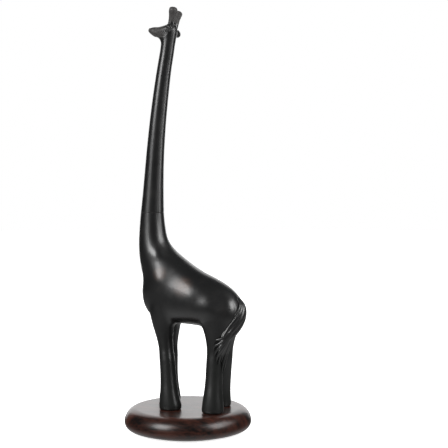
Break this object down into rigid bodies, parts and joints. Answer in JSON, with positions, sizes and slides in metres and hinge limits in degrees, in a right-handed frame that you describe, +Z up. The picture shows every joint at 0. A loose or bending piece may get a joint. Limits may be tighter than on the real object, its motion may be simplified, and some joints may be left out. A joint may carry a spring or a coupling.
{
  "type": "giraffe statue",
  "caption": "Free-standing carved wooden giraffe with a tall slim neck, screwed to a round turned base with a rounded edge.",
  "frame": {"origin": "middle of the underside, on the surface that the statue stands on", "axes": "+Z up; the giraffe looks along -X and its left side is towards -Y"},
  "size_m": [0.145, 0.145, 0.4819],
  "materials": {
    "carved_wood": "black stained and waxed, satin",
    "base_wood": "dark red-brown stain under satin lacquer",
    "felt": "pressed felt",
    "steel": "plain steel",
    "dowel_wood": "bare beech"
  },
  "bodies": {
    "root": {"base_disc": "base_wood", "base_felt": "felt", "left_front_leg_screw": "steel", "right_front_leg_screw": "steel", "left_hind_leg_screw": "steel", "right_hind_leg_screw": "steel", "body": "carved_wood", "neck_and_head": "carved_wood", "neck_dowel": "dowel_wood", "tail": "carved_wood", "left_ear": "carved_wood", "right_ear": "carved_wood", "left_horn": "carved_wood", "right_horn": "carved_wood"}
  },
  "joints": []
}
